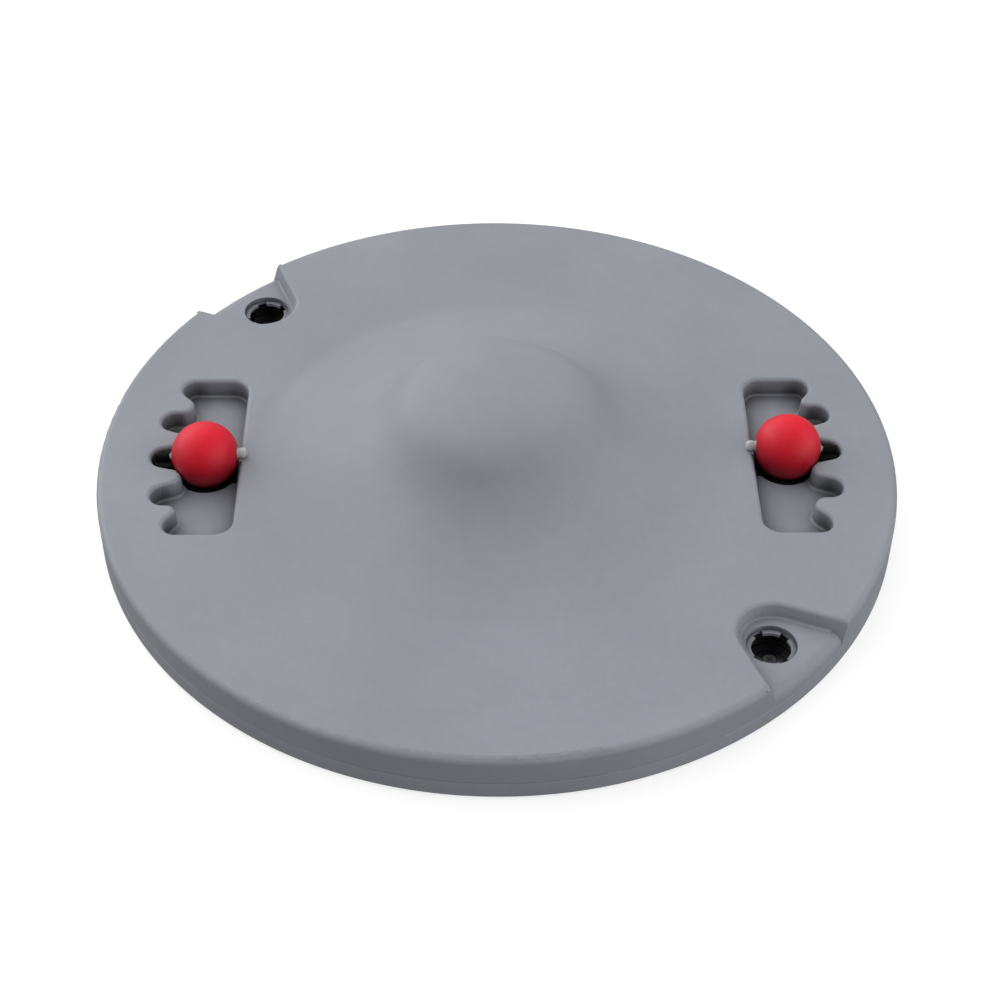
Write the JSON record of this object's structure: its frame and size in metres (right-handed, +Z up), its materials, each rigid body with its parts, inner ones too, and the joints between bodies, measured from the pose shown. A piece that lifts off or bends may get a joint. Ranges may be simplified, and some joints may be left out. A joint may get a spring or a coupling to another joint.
{
  "type": "balance dome trainer",
  "caption": "Round moulded balance board lying on its standing face, pivot dome up, with red rubber roller balls in scalloped pockets and bayonet sockets in the rim",
  "frame": {"origin": "centre of the grip face, which lies on the floor", "axes": "+Z up through the pivot dome, the two balls on the X axis, the sockets on the diagonal of the -Y +X and +Y -X quadrants"},
  "size_m": [0.6, 0.6, 0.1075],
  "materials": {
    "shell_plastic": "fine grained, satin",
    "ball_rubber": "smooth satin",
    "black_plastic": "glossy moulded",
    "cradle_plastic": "matte moulded",
    "axle_nylon": "smooth moulded",
    "mat_rubber": "matte, finely textured",
    "core_plastic": "moulded",
    "steel": "zinc plated",
    "blackened_steel": "blackened"
  },
  "bodies": {
    "board": {"dome_shell": "shell_plastic", "deck_shell": "shell_plastic", "grip_mat": "mat_rubber", "dome_core": "core_plastic", "ball_cradle_right": "cradle_plastic", "ball_cradle_left": "cradle_plastic", "ball_axle_right": "axle_nylon", "ball_axle_left": "axle_nylon", "socket_cup_right": "black_plastic", "socket_cup_left": "black_plastic", "plunger_spring_right": "steel", "plunger_spring_left": "steel", "plunger_screws": "blackened_steel", "cup_screws": "steel", "shell_screws": "steel", "cradle_screws": "steel", "core_screws": "steel"},
    "ball_right_body": {"ball_right": "ball_rubber", "ball_bush_right": "axle_nylon"},
    "ball_left_body": {"ball_left": "ball_rubber", "ball_bush_left": "axle_nylon"},
    "plunger_right_body": {"socket_plunger_right": "black_plastic"},
    "plunger_left_body": {"socket_plunger_left": "black_plastic"}
  },
  "joints": [
    {"name": "ball_roll_right", "type": "hinge", "parent": "board", "child": "ball_right_body", "pos_m": [0.2197, 0.0032, 0.041], "axis": [-0.9981, 0, 0.061], "continuous": true},
    {"name": "ball_roll_left", "type": "hinge", "parent": "board", "child": "ball_left_body", "pos_m": [-0.2197, -0.0032, 0.041], "axis": [0.9981, 0, 0.061], "continuous": true},
    {"name": "plunger_press_right", "type": "slide", "parent": "board", "child": "plunger_right_body", "axis": [0, 0, -1], "range_m": [0, 0.0018], "stiffness_N_per_m": 1500, "springref_m": -0.001, "deforming": ["plunger_spring_right"]},
    {"name": "plunger_press_left", "type": "slide", "parent": "board", "child": "plunger_left_body", "axis": [0, 0, -1], "range_m": [0, 0.0018], "stiffness_N_per_m": 1500, "springref_m": -0.001, "deforming": ["plunger_spring_left"]}
  ]
}
